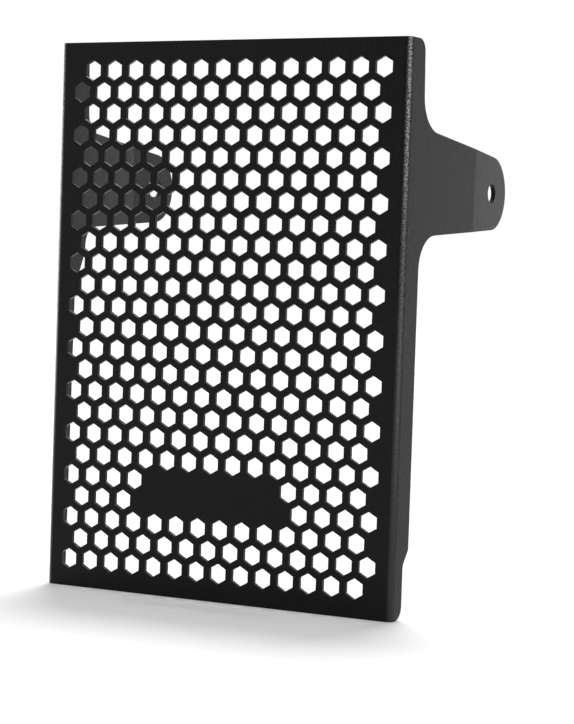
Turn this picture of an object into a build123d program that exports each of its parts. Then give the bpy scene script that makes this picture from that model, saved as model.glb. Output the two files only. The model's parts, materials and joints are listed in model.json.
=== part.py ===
from build123d import *
import os
from math import floor, radians, sqrt, tan

# Motorcycle radiator guard: one aluminium sheet, cut with a field of hexagonal holes and folded into a
# shallow channel. The panel faces -Y and stands on Z = 0. A flange runs back along each side of it and
# splays a little. Each flange carries a long tab, and the tab's tip is turned parallel to the other one, for
# the bracket that it bolts to. The origin lies under the middle of the guard's own box. Lengths are
# millimetres. A depth is counted from the panel's front face and a height from its lower edge.

# Sheet and folds
sheet = 2.0
fold_inside_radius = 0.8
tip_fold_inside_radius = 6.0

# Panel
panel_width = 164.0
panel_height = 233.0

# Perforation: staggered rows of hexagons with two flats upright, as many as leave a plain margin all round
hole_flats = 7.5
hole_pitch = 10.5
panel_margin = 6.4
perforation_shift = -0.4

# Bare pad that interrupts the perforation low on the panel
pad_width = 68.0
pad_height = 16.0
pad_middle_x = -3.0
pad_middle_height = 43.8

# Flanges: the right one steps out just above its foot, the left one only below its tab. Above the tabs both
# lean forwards to the top
foot_corner_radius = 5.5
top_corner_radius = 5.0
top_lean_angle = 2.5
edge_round = 4.0
right_foot_depth = 9.0
right_depth = 13.5
right_top_depth = 12.8
right_step_low = 22.0
right_step_high = 28.0
left_foot_depth = 12.2
left_lower_depth = 13.5
left_depth = 21.4
left_top_depth = 20.3
left_step_height = 15.5
left_step_below_tab = 9.3

# Tabs: each narrows from its root to a full round end, which sits a little lower than the root's middle
tab_below_top = 58.4
tab_root_height = 45.9
tab_root_rise = 1.65
right_root_radius = 14.5
left_root_radius = 8.5
tab_end_radius = 15.7
tip_fold_depth = 63.5
tip_outset = 2.9

# Mounting holes: round on the right, a short slot on the left to take up tolerance
mount_depth = 82.5
mount_diameter = 8.0
mount_slot_length = 11.0

hole_height = hole_flats * 2 / sqrt(3)
row_pitch = hole_pitch * sqrt(3) / 2
row_count = 1 + floor((panel_height - 2 * panel_margin - hole_height) / row_pitch)
holes_in_row = floor((panel_width - 2 * panel_margin - hole_flats) / hole_pitch + 1 / 2)
tab_middle_height = panel_height - tab_below_top
tab_low = tab_middle_height + tab_root_rise - tab_root_height / 2
tab_high = tab_low + tab_root_height
overall_depth = mount_depth + tab_end_radius
half_width = panel_width / 2
half_reach = half_width + tip_outset
front_y = -overall_depth / 2

plan_plane = Plane((0, front_y, 0), x_dir=(1, 0, 0), z_dir=(0, 0, 1))
flank_plane = Plane((0, front_y, 0), x_dir=(0, 1, 0), z_dir=(1, 0, 0))
panel_plane = Plane((0, front_y, panel_height / 2), x_dir=(1, 0, 0), z_dir=(0, -1, 0))


def flank(foot_depth, lower_end, upper_start, top_depth, root_radius, hole_length):
    """One side of the guard seen square on, as depth and height.

    Below the tab its rear edge rises from the foot to lower_end, steps out to upper_start and runs straight
    up. Above the tab it leans forwards to the top.
    """
    lean = (panel_height - tab_middle_height) * tan(radians(top_lean_angle))
    with BuildSketch() as side:
        with Locations((sheet / 2, (tab_low + tab_high) / 2)):
            Rectangle(sheet, tab_root_height)
        with Locations((mount_depth, tab_middle_height)):
            Circle(tab_end_radius)
        make_hull()
        with BuildLine():
            lower_edge = FilletPolyline(
                (0, 0),
                (foot_depth, 0),
                lower_end,
                upper_start,
                (upper_start[0], tab_middle_height),
                (0, tab_middle_height),
                radius=[foot_corner_radius, edge_round, edge_round, edge_round],
            )
            Line(lower_edge @ 1, lower_edge @ 0)
        make_face()
        with BuildLine():
            upper_edge = FilletPolyline(
                (0, tab_middle_height),
                (top_depth + lean, tab_middle_height),
                (top_depth, panel_height),
                (0, panel_height),
                radius=top_corner_radius,
            )
            Line(upper_edge @ 1, upper_edge @ 0)
        make_face()
        tab_roots = side.vertices().filter_by_position(Axis.X, 2 * sheet, tip_fold_depth)
        fillet(tab_roots.filter_by_position(Axis.Y, tab_low, tab_high), root_radius)
        with Locations((mount_depth, tab_middle_height)):
            if hole_length > mount_diameter:
                SlotOverall(hole_length, mount_diameter, mode=Mode.SUBTRACT)
            else:
                Circle(mount_diameter / 2, mode=Mode.SUBTRACT)
    return side.sketch


def hole_centres():
    """Centres of the hexagons about the panel's middle, without those that fall on the bare pad."""
    pad_middle_z = pad_middle_height - panel_height / 2
    centres = []
    for row in range(row_count):
        z = ((row_count - 1) / 2 - row) * row_pitch
        stagger = hole_pitch / 4 if row % 2 == 0 else -hole_pitch / 4
        for column in range(holes_in_row):
            x = (column - (holes_in_row - 1) / 2) * hole_pitch + stagger + perforation_shift
            on_pad = abs(x - pad_middle_x) < pad_width / 2 and abs(z - pad_middle_z) < pad_height / 2
            if not on_pad:
                centres.append((x, z))
    return centres


right_flank = flank(
    right_foot_depth,
    (right_foot_depth, right_step_low),
    (right_depth, right_step_high),
    right_top_depth,
    right_root_radius,
    mount_diameter,
)
left_flank = flank(
    left_foot_depth,
    (left_lower_depth, tab_low - left_step_below_tab - left_step_height),
    (left_depth, tab_low - left_step_below_tab),
    left_top_depth,
    left_root_radius,
    mount_slot_length,
)

fold_radius = fold_inside_radius + sheet
tip_radius = tip_fold_inside_radius + sheet

with BuildPart() as guard_sheet:
    # The folded sheet seen from above: its outer line from tip to tip, thickened inwards
    with BuildSketch(plan_plane) as folded_strip:
        with BuildLine():
            FilletPolyline(
                (-half_reach, overall_depth),
                (-half_reach, tip_fold_depth),
                (-half_width, 0),
                (half_width, 0),
                (half_reach, tip_fold_depth),
                (half_reach, overall_depth),
                radius=[tip_radius, fold_radius, fold_radius, tip_radius],
            )
            offset(amount=sheet, side=Side.LEFT)
        make_face()
    extrude(amount=panel_height)

    # Each side trimmed to its own outline
    for outward, outline in ((1, right_flank), (-1, left_flank)):
        with BuildSketch(flank_plane) as waste:
            with Locations((overall_depth / 2, panel_height / 2)):
                Rectangle(overall_depth + 2 * sheet, panel_height + 2 * sheet)
            add(outline, mode=Mode.SUBTRACT)
        extrude(amount=outward * (half_reach + sheet), mode=Mode.SUBTRACT)

    # The field of hexagonal holes, cut from in front of the panel to behind it
    with BuildSketch(panel_plane.offset(sheet)) as perforation:
        with Locations(*hole_centres()):
            RegularPolygon(hole_flats / 2, 6, major_radius=False, rotation=30)
    extrude(amount=-3 * sheet, mode=Mode.SUBTRACT, clean=False)

guard_sheet.part.label = "guard_sheet"

os.makedirs("parts", exist_ok=True)
export_step(guard_sheet.part, "parts/guard_sheet.step")
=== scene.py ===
# %% [markdown]
# # A motorcycle radiator guard
#
# The guard keeps stones off a motorcycle's radiator. The real one is a single sheet of aluminium: a field
# of hexagonal holes is cut while it lies flat, the two sides are folded back into flanges, each with a long
# tab and a screw hole, and a fine black powder coat covers it all.
#
# The lesson works in the order of the workshop: draw the flat blank, perforate it, fold it, coat it. A small
# studio comes last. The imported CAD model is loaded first, because every size has to agree with it.

import json
from collections import Counter
from math import asin, atan2, ceil, copysign, cos, pi, radians, sin, sqrt, tan

import bmesh
import bpy
import numpy as np
from mathutils import Matrix, Vector
from mathutils.geometry import area_tri, delaunay_2d_cdt


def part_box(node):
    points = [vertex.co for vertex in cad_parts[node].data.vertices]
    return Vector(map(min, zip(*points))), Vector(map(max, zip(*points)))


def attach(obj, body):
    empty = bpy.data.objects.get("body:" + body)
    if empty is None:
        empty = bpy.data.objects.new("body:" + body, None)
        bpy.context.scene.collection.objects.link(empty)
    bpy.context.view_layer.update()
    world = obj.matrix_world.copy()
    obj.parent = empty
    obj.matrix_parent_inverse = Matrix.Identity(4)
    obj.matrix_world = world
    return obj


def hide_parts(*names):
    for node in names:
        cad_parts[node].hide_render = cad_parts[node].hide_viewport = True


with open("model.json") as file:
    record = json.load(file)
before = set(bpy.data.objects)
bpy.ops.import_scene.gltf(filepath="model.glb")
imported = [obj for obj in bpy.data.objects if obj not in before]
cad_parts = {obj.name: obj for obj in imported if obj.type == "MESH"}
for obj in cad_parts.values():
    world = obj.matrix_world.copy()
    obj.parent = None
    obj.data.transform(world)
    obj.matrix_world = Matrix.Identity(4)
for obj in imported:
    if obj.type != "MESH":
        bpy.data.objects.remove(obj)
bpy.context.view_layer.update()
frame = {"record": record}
low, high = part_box("guard_sheet")
mounts = {mount["name"]: mount for mount in frame["record"]["mounts"]}
print("mounts:", sorted(mounts))

# %% [markdown]
# ## A short way to write nodes
#
# The perforation, the folding and the coat are all node trees. Nodes can be placed and linked by hand, one
# line for each, but sums are hard to read that way. So one small class wraps a socket, and its operators add
# Math nodes: `1 - mask` is then a node too. Every other node comes from one method, which takes the node's
# type, its settings and what goes into its sockets.

# %% A node tree that can be written as expressions
class Wire:
    """An output socket. Arithmetic on it adds Math nodes to its tree."""

    def __init__(self, tree, socket):
        self.tree = tree
        self.socket = socket

    def math(self, operation, *values):
        return self.tree.node("ShaderNodeMath", {"operation": operation}, dict(enumerate(values)))[0]

    def __add__(self, other):
        return self.math("ADD", self, other)

    def __radd__(self, other):
        return self.math("ADD", other, self)

    def __sub__(self, other):
        return self.math("SUBTRACT", self, other)

    def __rsub__(self, other):
        return self.math("SUBTRACT", other, self)

    def __mul__(self, other):
        return self.math("MULTIPLY", self, other)

    def __rmul__(self, other):
        return self.math("MULTIPLY", other, self)

    def __truediv__(self, other):
        return self.math("DIVIDE", self, other)

    def __rtruediv__(self, other):
        return self.math("DIVIDE", other, self)

    def __mod__(self, other):
        return self.math("FLOORED_MODULO", self, other)

    def __rmod__(self, other):
        return self.math("FLOORED_MODULO", other, self)

    def __lt__(self, other):
        return self.math("LESS_THAN", self, other)

    def __abs__(self):
        return self.math("ABSOLUTE", self)


class Tree:
    """A node tree under construction, with one method for every kind of node."""

    def __init__(self, tree):
        self.tree = tree

    def node(self, kind, settings=None, sockets=None):
        """Adds a node, sets its settings, then its sockets, and returns its outputs as wires."""
        made = self.tree.nodes.new(kind)
        for name, value in (settings or {}).items():
            if name == "stops":
                self.set_stops(made.color_ramp, value)
            else:
                setattr(made, name, value)
        for name, value in (sockets or {}).items():
            self.plug(made.inputs[name], value)
        outputs = {output.name: Wire(self, output) for output in made.outputs if output.enabled}
        outputs.update({index: Wire(self, output) for index, output in enumerate(made.outputs)})
        return outputs

    def plug(self, socket, value):
        """Links a wire, or several of them, into a socket, or writes a plain value there."""
        for wire in value if isinstance(value, list) else [value]:
            if isinstance(wire, Wire):
                self.tree.links.new(wire.socket, socket)
            else:
                socket.default_value = wire

    def set_stops(self, ramp, stops):
        """Gives a colour ramp its stops, as pairs of place and colour."""
        while len(ramp.elements) < len(stops):
            ramp.elements.new(1)
        for element, (place, colour) in zip(ramp.elements, stops):
            element.position = place
            element.color = colour


SOCKET_KINDS = {float: "NodeSocketFloat", int: "NodeSocketInt", bpy.types.Object: "NodeSocketObject",
                bpy.types.Material: "NodeSocketMaterial"}


def geometry_modifier(piece, name, values):
    """Puts an empty Geometry Nodes tree on a piece, with one named input for each of the values.

    Returns the tree, its inputs as wires by name, and the socket that takes the result.
    """
    group = bpy.data.node_groups.new(name, "GeometryNodeTree")
    group.interface.new_socket("Geometry", in_out="OUTPUT", socket_type="NodeSocketGeometry")
    group.interface.new_socket("Geometry", in_out="INPUT", socket_type="NodeSocketGeometry")
    modifier = piece.modifiers.new(name, "NODES")
    sockets = {}
    for label, value in values.items():
        kind = SOCKET_KINDS[type(value)]
        sockets[label] = group.interface.new_socket(label, in_out="INPUT", socket_type=kind)
    modifier.node_group = group
    for label, value in values.items():
        modifier[sockets[label].identifier] = value
    tree = Tree(group)
    result = group.nodes.new("NodeGroupOutput").inputs[0]
    return tree, tree.node("NodeGroupInput"), result


print("node helpers ready:", Wire.__name__, Tree.__name__)

# %% [markdown]
# ## The folded line
#
# Seen from above, the guard is one bent line: along the panel, round a tight fold at each side, and back
# along the flange and its tab. The sides splay a little, and a slight second fold turns the tabs' tips
# parallel, flat against the brackets that they bolt to. A press brake makes each fold with a known radius, so
# the line is straight runs joined by arcs. The line drawn here is the sheet's outer face. A point of the flat
# blank is found by how far along this line it lies, so the same line later serves to fold the blank.

# %% Draw the outer line of the sheet, seen from above
MM = 0.001
SHEET = 2.0 * MM
FOLD_RADIUS = 2.8 * MM
TIP_FOLD_RADIUS = 8.0 * MM
HALF_WIDTH = 82.0 * MM
TIP_FOLD_DEPTH = 63.5 * MM
LINE_STEP = radians(1)

panel_height = high.z - low.z
overall_depth = high.y - low.y
half_reach = (high.x - low.x) / 2
front_y = low.y


def rounded(corners, step):
    """Points of a line whose corners, given as (x, y, radius), are rounded in arcs of small steps.

    Also returns the first and last point's number of each arc.
    """
    points = [Vector(corners[0][:2])]
    arcs = []
    for before, (*place, radius), after in zip(corners, corners[1:], corners[2:]):
        corner = Vector(place)
        back = (Vector(before[:2]) - corner).normalized()
        ahead = (Vector(after[:2]) - corner).normalized()
        across = ahead.x * back.y - ahead.y * back.x
        turn = pi - atan2(abs(across), back.dot(ahead))
        centre = corner + (back + ahead).normalized() * radius / cos(turn / 2)
        spoke = corner + back * radius * tan(turn / 2) - centre
        way = copysign(turn, across)
        count = ceil(turn / step)
        arcs.append((len(points), len(points) + count))
        points += [centre + Matrix.Rotation(way * i / count, 2) @ spoke for i in range(count + 1)]
    return points + [Vector(corners[-1][:2])], arcs


right_half = [
    (HALF_WIDTH, front_y, FOLD_RADIUS),
    (half_reach, front_y + TIP_FOLD_DEPTH, TIP_FOLD_RADIUS),
    (half_reach, front_y + overall_depth + SHEET, 0),
]
left_half = [(-x, y, radius) for x, y, radius in reversed(right_half)]
line, arcs = rounded(left_half + right_half, LINE_STEP)
lengths = np.cumsum([0] + [(b - a).length for a, b in zip(line, line[1:])])
along = lengths - lengths[-1] / 2
print(f"outer line: {len(line)} points, {lengths[-1]:.4f} m long, {len(arcs)} folds")

# %% [markdown]
# ## The outline of the flat blank
#
# The blank is a plain rectangle in the middle, and its two ends carry the flanges and tabs. A side is
# easiest to describe as it looks square on, by depth behind the panel and by height, so each rear edge is
# drawn like that, corner by corner with a radius. Then the depths are turned into lengths along the folded
# line, which lays the side out flat. The right flange steps out just above its foot, the left one only below
# its tab, and above the tabs both lean forwards to the top. Both tabs narrow towards a full round end.

# %% Lay out the two flanks
FOOT_RADIUS = 5.5 * MM
TOP_RADIUS = 5.0 * MM
TOP_LEAN = tan(radians(2.5))
EDGE_RADIUS = 4.0 * MM
RIGHT_FOOT_DEPTH = 9.0 * MM
RIGHT_DEPTH = 13.5 * MM
RIGHT_TOP_DEPTH = 12.8 * MM
RIGHT_STEP_LOW = 22.0 * MM
RIGHT_STEP_HIGH = 28.0 * MM
RIGHT_ROOT_RADIUS = 14.5 * MM
LEFT_FOOT_DEPTH = 12.2 * MM
LEFT_LOWER_DEPTH = 13.5 * MM
LEFT_DEPTH = 21.4 * MM
LEFT_TOP_DEPTH = 20.3 * MM
LEFT_STEP_HEIGHT = 15.5 * MM
LEFT_STEP_BELOW_TAB = 9.3 * MM
LEFT_ROOT_RADIUS = 8.5 * MM
TAB_ROOT_HEIGHT = 45.9 * MM
TAB_ROOT_RISE = 1.65 * MM
CORNER_STEP = radians(6)
SAME_PLACE = MM / 100

hole_place = mounts["tab_hole_right"]["pos_m"]
hole_radius = mounts["tab_hole_right"]["dims"]["r_mm"] * MM
slot_length = mounts["tab_slot_left"]["dims"]["slot_length_mm"] * MM
tab_middle = hole_place[2]
mount_depth = hole_place[1] - front_y
tab_end_radius = overall_depth - mount_depth


def tab_slope(way):
    """How steeply a tab's upper (1) or lower (-1) edge closes in between the root and the round end."""
    to_end = Vector((mount_depth - SHEET, TAB_ROOT_HEIGHT / 2 + way * TAB_ROOT_RISE))
    return tan(atan2(to_end.y, to_end.x) - asin(tab_end_radius / to_end.length))


def tab_edge(way, depth):
    """Height of a tab's upper (1) or lower (-1) edge at a depth."""
    return tab_middle + TAB_ROOT_RISE + way * (TAB_ROOT_HEIGHT / 2 - (depth - SHEET) * tab_slope(way))


def flank(foot_depth, lower_end, upper_start, top_depth, root_radius):
    """One side's rear edge from bottom to top, as points of depth and height.

    Above the tab the edge leans back from the top, and it ends where it meets the tab's sloping edge.
    """
    depth = upper_start[0]
    upper_root = (top_depth + (panel_height - tab_edge(1, 0)) * TOP_LEAN) / (1 - tab_slope(1) * TOP_LEAN)
    points, _ = rounded([
        (0, 0, 0),
        (foot_depth, 0, FOOT_RADIUS),
        (*lower_end, EDGE_RADIUS),
        (*upper_start, EDGE_RADIUS),
        (depth, tab_edge(-1, depth), root_radius),
        (overall_depth, tab_edge(-1, overall_depth), tab_end_radius),
        (overall_depth, tab_edge(1, overall_depth), tab_end_radius),
        (upper_root, tab_edge(1, upper_root), root_radius),
        (top_depth, panel_height, TOP_RADIUS),
        (0, panel_height, 0),
    ], CORNER_STEP)
    return [point for before, point in zip(points, points[1:-1]) if (point - before).length > SAME_PLACE]


def laid_flat(side, points):
    """Points of depth and height on the right (1) or left (-1) side, moved onto the flat blank."""
    half = len(line) // 2
    depths = [point.y - front_y for point in line[half:]]
    return [Vector((side * np.interp(depth, depths, along[half:]), height)) for depth, height in points]


left_step_high = tab_middle + TAB_ROOT_RISE - TAB_ROOT_HEIGHT / 2 - LEFT_STEP_BELOW_TAB
left_step_low = left_step_high - LEFT_STEP_HEIGHT
left_step = (LEFT_LOWER_DEPTH, left_step_low), (LEFT_DEPTH, left_step_high)
right_step = (RIGHT_FOOT_DEPTH, RIGHT_STEP_LOW), (RIGHT_DEPTH, RIGHT_STEP_HIGH)
left_edge = laid_flat(-1, flank(LEFT_FOOT_DEPTH, *left_step, LEFT_TOP_DEPTH, LEFT_ROOT_RADIUS))
right_edge = laid_flat(1, flank(RIGHT_FOOT_DEPTH, *right_step, RIGHT_TOP_DEPTH, RIGHT_ROOT_RADIUS))
outline = left_edge + right_edge[::-1]
print(f"blank: {len(left_edge)} points on the left, {len(right_edge)} on the right")

# %% [markdown]
# ## Holes in the tabs
#
# The right tab has a round hole and the left one a short slot, which takes up tolerance when the guard is
# bolted on. Both are loops of points in the same flat layout. A loop always runs with the metal on its right
# hand: clockwise round the blank and anticlockwise round a hole. Then one function can round the rim of any
# of them.

# %% The two screw holes, and the blank split along its folds
FOLD_STEP = radians(9)
FOLD_GUARD = 0.2 * MM
HOLE_POINTS = 48


def screw_hole(side, length):
    """A hole of this overall length in the middle of a tab's end, as a loop on the flat blank."""
    loop = []
    for i in range(HOLE_POINTS):
        turn = side * 2 * pi * (i + 0.5) / HOLE_POINTS
        stretch = copysign(length / 2 - hole_radius, cos(turn))
        loop.append((mount_depth + stretch + hole_radius * cos(turn), tab_middle + hole_radius * sin(turn)))
    return laid_flat(side, loop)


def fold_lines():
    """Where the blank bends: lines across every fold in small steps, with a guard line on each side."""
    places = []
    for first, last in arcs:
        start, end = along[first], along[last]
        entry = (line[first] - line[first - 1]).normalized()
        leave = (line[last + 1] - line[last]).normalized()
        count = ceil(entry.angle(leave) / FOLD_STEP)
        places += [start - FOLD_GUARD, *np.linspace(start, end, count + 1), end + FOLD_GUARD]
    return places


def split_at_folds(loop):
    """The same loop with a point wherever one of its edges crosses a fold line."""
    points = []
    for here, there in zip(loop, loop[1:] + loop[:1]):
        points.append(here)
        crossed = [x for x in folds if min(here.x, there.x) < x < max(here.x, there.x)]
        for x in sorted(crossed, reverse=here.x > there.x):
            points.append(here.lerp(there, (x - here.x) / (there.x - here.x)))
    return points


folds = fold_lines()
rims = [split_at_folds(outline), screw_hole(1, 2 * hole_radius), screw_hole(-1, slot_length)]
print(f"{len(folds)} fold lines, rims of {[len(rim) for rim in rims]} points")

# %% [markdown]
# ## One hole of the perforation
#
# The panel is a honeycomb of hexagonal holes, more than three hundred of them. The metal round one hole is
# itself a hexagonal ring, and such rings tile a plane with no gaps. So a boolean isn't needed: one ring is
# modelled with care, with the soft edges that a coat leaves on a cut, and is then repeated. Where the panel
# stays bare, a plain tile takes the ring's place.

# %% Model the ring round one hole, and the plain tile
HOLE_FLATS = 7.5 * MM
PITCH = 10.5 * MM
RIM_RADIUS = 0.2 * MM

slack = RIM_RADIUS * (1 - sqrt(0.5))
rim_profile = [
    (RIM_RADIUS, 0),
    (slack, slack),
    (0, RIM_RADIUS),
    (0, SHEET - RIM_RADIUS),
    (slack, SHEET - slack),
    (RIM_RADIUS, SHEET),
]


def hexagon(flats, y):
    """Corners of a hexagon that stands on a point, anticlockwise, at a depth y into the sheet."""
    turns = [radians(60 * k + 30) for k in range(6)]
    return [(flats / sqrt(3) * cos(turn), y, flats / sqrt(3) * sin(turn)) for turn in turns]


def strips(loops):
    """Points and faces of the strips between loops that have equally many points."""
    count = len(loops[0])
    faces = []
    for first in range(0, count * (len(loops) - 1), count):
        for k in range(count):
            a, b = first + k, first + (k + 1) % count
            faces.append((a, b, b + count, a + count))
    return [point for loop in loops for point in loop], faces


def mesh_object(name, points, faces):
    """A new object with these points and faces, at the origin."""
    mesh = bpy.data.meshes.new(name)
    mesh.from_pydata(points, [], faces)
    made = bpy.data.objects.new(name, mesh)
    bpy.context.scene.collection.objects.link(made)
    return made


hole_loops = [hexagon(HOLE_FLATS + 2 * inset, y) for inset, y in rim_profile]
ring = mesh_object("ring", *strips([hexagon(PITCH, 0), *hole_loops, hexagon(PITCH, SHEET)]))
tile = mesh_object("tile", hexagon(PITCH, 0) + hexagon(PITCH, SHEET), [range(6), range(11, 5, -1)])
print(f"ring of {len(ring.data.polygons)} faces, tile of {len(tile.data.polygons)}")

# %% [markdown]
# ## The plain border
#
# Round the honeycomb lies the rest of the blank: a margin, the flanges and the tabs. Its inner edge is the
# zigzag of the outermost rings and its outer edge is the outline, so it is an awkward shape with holes. A
# constrained Delaunay triangulation fills such a shape, and it can be told to keep the fold lines as edges,
# which lets the sheet bend cleanly there later. It also fills places that aren't metal. Those are dropped
# by counting how many edges lie to the right of a triangle's middle: an odd count is metal.

# %% Find the zigzag round the honeycomb
ROWS = 24
COLUMNS = 14
PATTERN_SHIFT = -0.4 * MM

row_pitch = PITCH * sqrt(3) / 2


def honeycomb_edges():
    """The edges that only one tile of the honeycomb has, as pairs of points."""
    uses = Counter()
    for row in range(ROWS):
        for column in range(COLUMNS):
            x = (column - (COLUMNS - 1) / 2) * PITCH + (row % 2 - 0.5) * PITCH / 2 + PATTERN_SHIFT
            z = (row - (ROWS - 1) / 2) * row_pitch + panel_height / 2
            corners = [(round(x + dx, 7), round(z + dz, 7)) for dx, _, dz in hexagon(PITCH, 0)]
            uses.update(tuple(sorted(edge)) for edge in zip(corners, corners[1:] + corners[:1]))
    return [edge for edge, count in uses.items() if count == 1]


zigzag = honeycomb_edges()
print(f"zigzag of {len(zigzag)} edges")

# %% Fill the border and round its rims
SLIVER_AREA = (MM / 300) ** 2
ON_LINE = MM / 1000


def inset(loop, distance):
    """A loop moved into the metal on its right hand."""
    moved = []
    for before, here, after in zip(loop[-1:] + loop[:-1], loop, loop[1:] + loop[:1]):
        a, b = (here - before).normalized(), (after - here).normalized()
        moved.append(here + Vector((a.y + b.y, -a.x - b.x)) * distance / (1 + a.dot(b)))
    return moved


def numbered(pairs):
    """Distinct points of some edges, and the edges as pairs of point numbers."""
    numbers = {}
    edges = [tuple(numbers.setdefault(point, len(numbers)) for point in pair) for pair in pairs]
    return [Vector(point) for point in numbers], edges


def border_plan():
    """Points and edges that the triangulation keeps: the rims, the zigzag and the fold lines."""
    points, edges = numbered(zigzag)
    start = len(points)
    for rim in rims:
        first, count = len(points), len(rim)
        points += inset(rim, RIM_RADIUS)
        edges += [(first + k, first + (k + 1) % count) for k in range(count)]
    bends = []
    for x in folds:
        bends.append([start + k for k, point in enumerate(rims[0]) if abs(point.x - x) < ON_LINE])
    return points, edges, bends


def metal_triangles(points, edges, bends):
    """Triangles of the border, with the points that they use. Slivers outside a straight edge are dropped."""
    found, _, triangles, *_ = delaunay_2d_cdt(points, edges + bends, [], 0, 0)
    walls = np.array([(points[a], points[b]) for a, b in edges])
    kept = []
    for corners in triangles:
        a, b, c = (found[k] for k in corners)
        if area_tri(a, b, c) < SLIVER_AREA:
            continue
        middle = (a + b + c) / 3
        level = (walls[:, 0, 1] > middle.y) != (walls[:, 1, 1] > middle.y)
        a, b = walls[level, 0], walls[level, 1]
        reach = a[:, 0] + (middle.y - a[:, 1]) / (b[:, 1] - a[:, 1]) * (b[:, 0] - a[:, 0])
        if np.count_nonzero(reach > middle.x) % 2:
            kept.append(corners)
    return found, kept


flat_points, triangles = metal_triangles(*border_plan())
points = [(x, 0, z) for x, z in flat_points] + [(x, SHEET, z) for x, z in flat_points]
faces = triangles + [[k + len(flat_points) for k in reversed(corners)] for corners in triangles]
for rim in rims:
    rim_points, rim_faces = strips([[(x, y, z) for x, z in inset(rim, by)] for by, y in rim_profile])
    faces += [[k + len(points) for k in face] for face in rim_faces]
    points += rim_points
guard = mesh_object("radiator_guard", points, faces)
print(f"border of {len(triangles)} triangles on each face")

# %% [markdown]
# ## Perforate the blank
#
# Geometry Nodes repeat the ring. A grid gives one point for each hole, every second row is moved half a
# pitch sideways, and an instance of the ring stands on each point, or a plain tile where the point lies on
# the bare pad. The sizes are inputs of the tree, so the pattern can be changed from the modifier. The tiles
# and the border share their edge points, and Merge by Distance sews them into one closed sheet.

# %% Repeat the ring over the panel
PAD_WIDTH = 68.0 * MM
PAD_HEIGHT = 16.0 * MM
PAD_MIDDLE_X = -3.0 * MM
PAD_MIDDLE_Z = 43.8 * MM
SEAM = MM / 100

coat = bpy.data.materials.new("powder_coat")
tree, size, result = geometry_modifier(guard, "perforate", {
    "Ring": ring,
    "Tile": tile,
    "Columns": COLUMNS,
    "Rows": ROWS,
    "Pitch": PITCH,
    "Row pitch": row_pitch,
    "Middle X": PATTERN_SHIFT,
    "Middle height": panel_height / 2,
    "Pad width": PAD_WIDTH,
    "Pad height": PAD_HEIGHT,
    "Pad middle X": PAD_MIDDLE_X,
    "Pad middle Z": PAD_MIDDLE_Z,
    "Seam": SEAM,
    "Material": coat,
})
place = tree.node("ShaderNodeSeparateXYZ", sockets={0: tree.node("GeometryNodeInputPosition")[0]})
row = tree.node("GeometryNodeInputIndex")[0] % size["Rows"]
grid = tree.node("GeometryNodeMeshGrid", sockets={
    "Size X": (size["Columns"] - 1) * size["Pitch"],
    "Size Y": (size["Rows"] - 1) * size["Row pitch"],
    "Vertices X": size["Columns"],
    "Vertices Y": size["Rows"],
})
centre = tree.node("ShaderNodeCombineXYZ", sockets={
    "X": place["X"] + (row % 2 - 0.5) * size["Pitch"] / 2 + size["Middle X"],
    "Z": place["Y"] + size["Middle height"],
})[0]
centres = tree.node("GeometryNodeSetPosition", sockets={"Geometry": grid["Mesh"], "Position": centre})[0]
beside_pad = abs(place["X"] - size["Pad middle X"]) < size["Pad width"] / 2
on_pad = beside_pad * (abs(place["Z"] - size["Pad middle Z"]) < size["Pad height"] / 2)
parts = [size["Geometry"]]
for shape, chosen in (("Ring", 1 - on_pad), ("Tile", on_pad)):
    shape_info = tree.node("GeometryNodeObjectInfo", sockets={"Object": size[shape]})
    parts.append(tree.node("GeometryNodeInstanceOnPoints", sockets={
        "Points": centres, "Selection": chosen, "Instance": shape_info["Geometry"],
    })[0])
joined = tree.node("GeometryNodeJoinGeometry", sockets={"Geometry": parts})[0]
realized = tree.node("GeometryNodeRealizeInstances", sockets={"Geometry": joined})[0]
sewn = tree.node("GeometryNodeMergeByDistance", sockets={"Geometry": realized, "Distance": size["Seam"]})[0]
coated = tree.node("GeometryNodeSetMaterial", sockets={"Geometry": sewn, "Material": size["Material"]})[0]
tree.plug(result, coated)
print(f"perforate tree of {len(tree.tree.nodes)} nodes")

# %% [markdown]
# ## Fold the blank
#
# Folding by rotating pieces would need a joint at every bend. Here the folded line does the work instead: a
# point's first coordinate says how far along the line it lies, its second how deep in the sheet and its third
# how high. Sample Curve finds the place and the direction on the line, and the depth goes square to that
# direction. Flat stretches stay flat, arcs become true folds, and the thickness stays the same all over.

# %% Fold the blank along its line
fold_curve = bpy.data.curves.new("fold_line", "CURVE")
fold_curve.dimensions = "3D"
spline = fold_curve.splines.new("POLY")
spline.points.add(len(line) - 1)
for point, (x, y) in zip(spline.points, line):
    point.co = (x, y, 0, 1)
fold_line = bpy.data.objects.new("fold_line", fold_curve)
bpy.context.scene.collection.objects.link(fold_line)

tree, size, result = geometry_modifier(guard, "fold", {
    "Line": fold_line,
    "Half length": float(lengths[-1]) / 2,
    "Material": coat,
})
place = tree.node("ShaderNodeSeparateXYZ", sockets={0: tree.node("GeometryNodeInputPosition")[0]})
line_info = tree.node("GeometryNodeObjectInfo", sockets={"Object": size["Line"]})
sample = tree.node("GeometryNodeSampleCurve", {"mode": "LENGTH"}, {
    "Curves": line_info["Geometry"], "Length": place["X"] + size["Half length"],
})
inwards = tree.node("ShaderNodeVectorMath", {"operation": "CROSS_PRODUCT"}, {
    0: (0, 0, 1), 1: sample["Tangent"],
})[0]
into_sheet = tree.node("ShaderNodeVectorMath", {"operation": "SCALE"}, {0: inwards, "Scale": place["Y"]})[0]
upwards = tree.node("ShaderNodeCombineXYZ", sockets={"Z": place["Z"]})[0]
above_line = tree.node("ShaderNodeVectorMath", {"operation": "ADD"}, {0: sample["Position"], 1: upwards})[0]
folded = tree.node("ShaderNodeVectorMath", {"operation": "ADD"}, {0: above_line, 1: into_sheet})[0]
bent = tree.node("GeometryNodeSetPosition", sockets={"Geometry": size["Geometry"], "Position": folded})[0]
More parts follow.
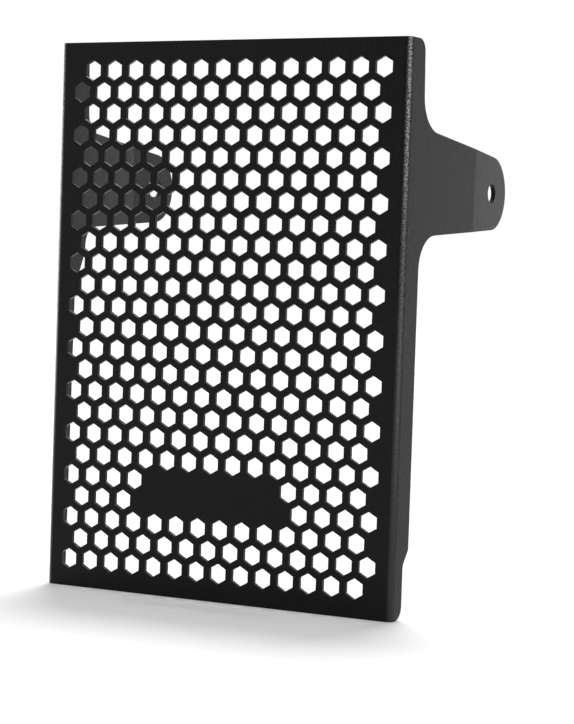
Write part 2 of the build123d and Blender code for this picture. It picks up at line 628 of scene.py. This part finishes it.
coated = tree.node("GeometryNodeSetMaterial", sockets={"Geometry": bent, "Material": size["Material"]})[0]
tree.plug(result, coated)
print(f"fold tree of {len(tree.tree.nodes)} nodes")

# %% [markdown]
# ## Make it a plain mesh
#
# The result of the modifiers is kept as an ordinary mesh, and the modifiers, the ring, the tile and the line
# are removed. The faces are shaded smooth, so that folds and round corners look round. Edges between a flat
# and the soft rim beside it are marked sharp, so that the flats keep one even tone.

# %% Keep the result and test that it is closed
SHARP_ANGLE = radians(15)

evaluated = guard.evaluated_get(bpy.context.evaluated_depsgraph_get())
plain_mesh = bpy.data.meshes.new_from_object(evaluated)
guard.modifiers.clear()
guard.data = plain_mesh
for helper in (ring, tile, fold_line):
    bpy.data.objects.remove(helper)
plain_mesh.shade_smooth()
plain_mesh.set_sharp_from_angle(angle=SHARP_ANGLE)

check = bmesh.new()
check.from_mesh(plain_mesh)
open_edges = sum(not edge.is_manifold for edge in check.edges)
volume = check.calc_volume(signed=True)
check.free()
print(f"guard: {len(plain_mesh.polygons)} faces, {open_edges} open edges, {volume * 1e6:.2f} cm3")

# %% [markdown]
# ## The powder coat
#
# The sheet is coated with black powder that was baked on. Close up it isn't smooth: the grains leave a fine
# sandy texture, just under a millimetre across, and under it lies the faint waviness that such coats have.
# Both are noise on Object coordinates, so they keep their scale and stay put on every side. The grain drives
# the bump, the roughness and a slight change of the black.
#
# On the flats the coat is a dull black all over. On the outside of a fold the sheet is stretched and handled,
# and some grains there are polished: they break the highlight into specks, which fade out towards the foot.
# Brighter lamps could draw that line too, but they would turn the flats grey. So the folds get a clear gloss
# of their own, grain by grain, as a second layer on the same surface. They could be masked by hand, but a
# rule finds them: how far a point lies to the side, less how far it lies back, is greatest round the two
# folds. A range of that difference is their mask.

# %% Mix the coat
GRAIN_SIZE = 0.8 * MM
WAVE_SIZE = 3.0 * MM
NOISE_DETAIL = 1.0
WAVE_SHARE = 0.6
BUMP_STRENGTH = 0.6
BUMP_HEIGHT = 0.15 * MM
BLACK = (0.0095, 0.0095, 0.0099, 1)
DARKER = (0.0075, 0.0075, 0.0079, 1)
DARKER_GRAIN, BLACK_GRAIN = 0.3, 0.7
COAT_IOR = 1.2
SHINY, DULL = 0.2, 0.28
LEAST_GLOSS, EVEN_GLOSS, MOST_GLOSS = 0.05, 0.42, 0.94
LEAST_GRAIN, MOST_GRAIN = 0.36, 0.64
EVEN_BELOW, SPECKLED_ABOVE = 60 * MM, 200 * MM
GLOSS_STARTS, GLOSS_FULL = 0.88 * FOLD_RADIUS, 0.62 * FOLD_RADIUS
GLOSS_IOR = 1.5
GLOSS_ROUGHNESS = 0.2

coat.use_nodes = True
coat.node_tree.nodes.clear()
tree = Tree(coat.node_tree)
where = tree.node("ShaderNodeTexCoord")["Object"]


def noise(size):
    """Noise with features of this size."""
    return tree.node("ShaderNodeTexNoise", sockets={
        "Vector": where, "Scale": 1 / size, "Detail": NOISE_DETAIL,
    })[0]


grain = noise(GRAIN_SIZE)
wave = noise(WAVE_SIZE)
blacks = [(DARKER_GRAIN, DARKER), (BLACK_GRAIN, BLACK)]
colour = tree.node("ShaderNodeValToRGB", {"stops": blacks}, {"Fac": grain})["Color"]
place = tree.node("ShaderNodeSeparateXYZ", sockets={0: where})
on_fold = tree.node("ShaderNodeMapRange", {"interpolation_type": "SMOOTHSTEP"}, {
    "Value": abs(place["X"]) - place["Y"],
    "From Min": HALF_WIDTH - front_y - GLOSS_STARTS,
    "From Max": HALF_WIDTH - front_y - GLOSS_FULL,
})[0]
bump = tree.node("ShaderNodeBump", sockets={
    "Strength": BUMP_STRENGTH, "Distance": BUMP_HEIGHT, "Height": grain + WAVE_SHARE * wave,
})["Normal"]
speckled = tree.node("ShaderNodeMapRange", {"interpolation_type": "SMOOTHSTEP"}, {
    "Value": place["Z"], "From Min": EVEN_BELOW, "From Max": SPECKLED_ABOVE,
})[0]
polish = tree.node("ShaderNodeMapRange", sockets={
    "Value": grain,
    "From Min": LEAST_GRAIN,
    "From Max": MOST_GRAIN,
    "To Min": EVEN_GLOSS + (LEAST_GLOSS - EVEN_GLOSS) * speckled,
    "To Max": EVEN_GLOSS + (MOST_GLOSS - EVEN_GLOSS) * speckled,
})[0]
surface = tree.node("ShaderNodeBsdfPrincipled", sockets={
    "Base Color": colour,
    "Roughness": SHINY + (DULL - SHINY) * grain,
    "IOR": COAT_IOR,
    "Coat Weight": on_fold * polish,
    "Coat Roughness": GLOSS_ROUGHNESS,
    "Coat IOR": GLOSS_IOR,
    "Normal": bump,
})["BSDF"]
tree.node("ShaderNodeOutputMaterial", sockets={"Surface": surface})
print(f"powder coat of {len(coat.node_tree.nodes)} nodes, grain {GRAIN_SIZE / MM:.2f} mm")

# %% [markdown]
# ## The studio
#
# The guard stands on a pale floor in a white room. The camera sees plain white, while the light that falls on
# the guard stays at an ordinary level, so black stays black. Reflections see the white room too, apart from a
# dim corner straight in front of the guard: the black panel, which faces it, stays dark, and the sides, which
# mirror the white beside it, look grey. The floor is a real surface that takes the guard's shadow. It is
# lifted to white by a little light of its own.

# %% White room and floor
ROOM_LIGHT = 0.4
ROOM_DIM = 0.95
DIM_EDGE = 0.84
DIM_FULL = 0.93
FLOOR_TONE = (0.8, 0.8, 0.8, 1)
FLOOR_LIFT = 0.2
FLOOR_ROUGHNESS = 0.9
FLOOR_SIZE = 8.0
FLOOR_GAP = 0.1 * MM


def seen_directly(path):
    """One for a ray from the camera, a reflection or glass, and zero for light that falls on things."""
    return 1 - (1 - path["Is Camera Ray"]) * (1 - path["Is Glossy Ray"]) * (1 - path["Is Transmission Ray"])


world = bpy.data.worlds.new("white_room")
bpy.context.scene.world = world
world.use_nodes = True
world.node_tree.nodes.clear()
tree = Tree(world.node_tree)
path = tree.node("ShaderNodeLightPath")
direction = tree.node("ShaderNodeSeparateXYZ", sockets={0: tree.node("ShaderNodeTexCoord")["Generated"]})
dim_corner = tree.node("ShaderNodeMapRange", {"interpolation_type": "SMOOTHSTEP"}, {
    "Value": 0 - direction["Y"], "From Min": DIM_EDGE, "From Max": DIM_FULL,
})[0]
seen = seen_directly(path)
brightness = ROOM_LIGHT + (1 - ROOM_LIGHT) * seen - ROOM_DIM * dim_corner * path["Is Glossy Ray"]
room = tree.node("ShaderNodeBackground", sockets={"Color": (1, 1, 1, 1), "Strength": brightness})[0]
tree.node("ShaderNodeOutputWorld", sockets={"Surface": room})

half = FLOOR_SIZE / 2
floor_corners = [(-half, -half, 0), (half, -half, 0), (half, half, 0), (-half, half, 0)]
floor = mesh_object("floor", floor_corners, [range(4)])
floor.location.z = low.z - FLOOR_GAP
paper = bpy.data.materials.new("floor_paper")
paper.use_nodes = True
paper.node_tree.nodes.clear()
tree = Tree(paper.node_tree)
sheet_of_paper = tree.node("ShaderNodeBsdfPrincipled", sockets={
    "Base Color": FLOOR_TONE,
    "Roughness": FLOOR_ROUGHNESS,
    "Emission Color": (1, 1, 1, 1),
    "Emission Strength": FLOOR_LIFT * seen_directly(tree.node("ShaderNodeLightPath")),
})["BSDF"]
tree.node("ShaderNodeOutputMaterial", sockets={"Surface": sheet_of_paper})
floor.data.materials.append(paper)
print("room and floor ready")

# %% [markdown]
# ## Lamps
#
# Soft lamps shape the guard. A row of four on the right, with dimmer ones below, draws the bright grainy
# line down the right fold and lets it fade towards the foot. A row of three does the same more faintly for
# the left fold. Each place in a row is an azimuth with its share of the row's watts. Two lamps behind lift
# the tip of the right tab and the inner face of the left one. Each lamp has a grid, so that it hardly lights
# the floor. A broad light from above and behind gives the floor its soft shadow.

# %% Soft lamps
GRID_SPREAD = radians(40)
ROW_DISTANCE = 0.7
RIGHT_ROW = ((30, 0.12), (52, 0.65), (74, 1.0), (96, 0.6))
LEFT_ROW = ((-60, 0.4), (-82, 0.7), (-104, 1.0))
HIGH_AIM, LOW_AIM, LEFT_AIM = 0.20, 0.08, 0.14
SIDE_WATTS, LOW_WATTS, LEFT_WATTS = 0.05, 0.016, 0.03
SHADOW_ANGLE = radians(18)


def lamp(name, kind, place, aim, strength):
    """A lamp at a place, turned towards a point and hidden from the camera."""
    light = bpy.data.lights.new(name, kind)
    light.energy = strength
    made = bpy.data.objects.new(name, light)
    bpy.context.scene.collection.objects.link(made)
    made.location = place
    made.rotation_euler = (Vector(aim) - Vector(place)).to_track_quat("-Z", "Y").to_euler()
    made.visible_camera = False
    return light


def softbox(name, aim, azimuth, distance, height, size, watts):
    """A rectangular lamp with a grid, at a distance from the point that it lights.

    The azimuth is counted in degrees from straight in front, towards the right.
    """
    turn = radians(azimuth)
    place = Vector((aim.x + distance * sin(turn), aim.y - distance * cos(turn), height))
    light = lamp(name, "AREA", place, aim, watts)
    light.shape = "RECTANGLE"
    light.size, light.size_y = size
    light.spread = GRID_SPREAD


high_aim = Vector((HALF_WIDTH, front_y, HIGH_AIM))
low_aim = Vector((HALF_WIDTH, front_y, LOW_AIM))
left_aim = Vector((-HALF_WIDTH, front_y, LEFT_AIM))
right_tip = Vector((half_reach, hole_place[1], tab_middle))
left_tip = Vector((-half_reach, hole_place[1], tab_middle))
for azimuth, share in RIGHT_ROW:
    softbox("side_lamp", high_aim, azimuth, ROW_DISTANCE, height=0.275, size=(0.1, 0.16),
            watts=SIDE_WATTS * share)
    softbox("low_lamp", low_aim, azimuth, ROW_DISTANCE, height=0.06, size=(0.12, 0.18),
            watts=LOW_WATTS * share)
for azimuth, share in LEFT_ROW:
    softbox("left_lamp", left_aim, azimuth, ROW_DISTANCE, height=0.15, size=(0.12, 0.24),
            watts=LEFT_WATTS * share)
softbox("rear_lamp", right_tip, azimuth=173, distance=0.8, height=0.17, size=(0.24, 0.3), watts=0.016)
softbox("inner_lamp", left_tip, azimuth=158, distance=0.3, height=0.2, size=(0.08, 0.1), watts=0.0008)
overhead = lamp("overhead", "SUN", place=(-0.1, 0.36, 1.1), aim=(0, 0, 0.1), strength=2.4)
overhead.angle = SHADOW_ANGLE
print("lamps:", [light.name for light in bpy.data.lights])

# %% [markdown]
# ## Camera
#
# The camera stands to the right of the guard and just above its middle, far enough away for a long lens. Its
# place was worked out from the honeycomb: straight rows of equal holes fix the angle of view, the distance
# and the slight tilt of the frame.

# %% Camera
CAMERA_AIM = Vector((31.12, -48.19, 101.64)) * MM
CAMERA_DISTANCE = 880.3 * MM
CAMERA_AZIMUTH = radians(27.33)
CAMERA_ELEVATION = radians(2.585)
CAMERA_TILT = radians(1.91)
CAMERA_LENS = 107.3

camera = bpy.data.objects.new("camera", bpy.data.cameras.new("camera"))
bpy.context.scene.collection.objects.link(camera)
outwards = Vector((
    sin(CAMERA_AZIMUTH) * cos(CAMERA_ELEVATION),
    -cos(CAMERA_AZIMUTH) * cos(CAMERA_ELEVATION),
    sin(CAMERA_ELEVATION),
))
upright = outwards.to_track_quat("Z", "Y").to_matrix()
camera.matrix_world = Matrix.LocRotScale(
    CAMERA_AIM + outwards * CAMERA_DISTANCE, upright @ Matrix.Rotation(CAMERA_TILT, 3, "Z"), None)
camera.data.lens = CAMERA_LENS
bpy.context.scene.camera = camera
bpy.context.scene.view_settings.view_transform = "Standard"
print("camera at", [round(value, 4) for value in camera.matrix_world.translation])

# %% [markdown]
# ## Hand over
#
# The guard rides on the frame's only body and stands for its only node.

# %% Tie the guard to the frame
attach(guard, "root")
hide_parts("guard_sheet")
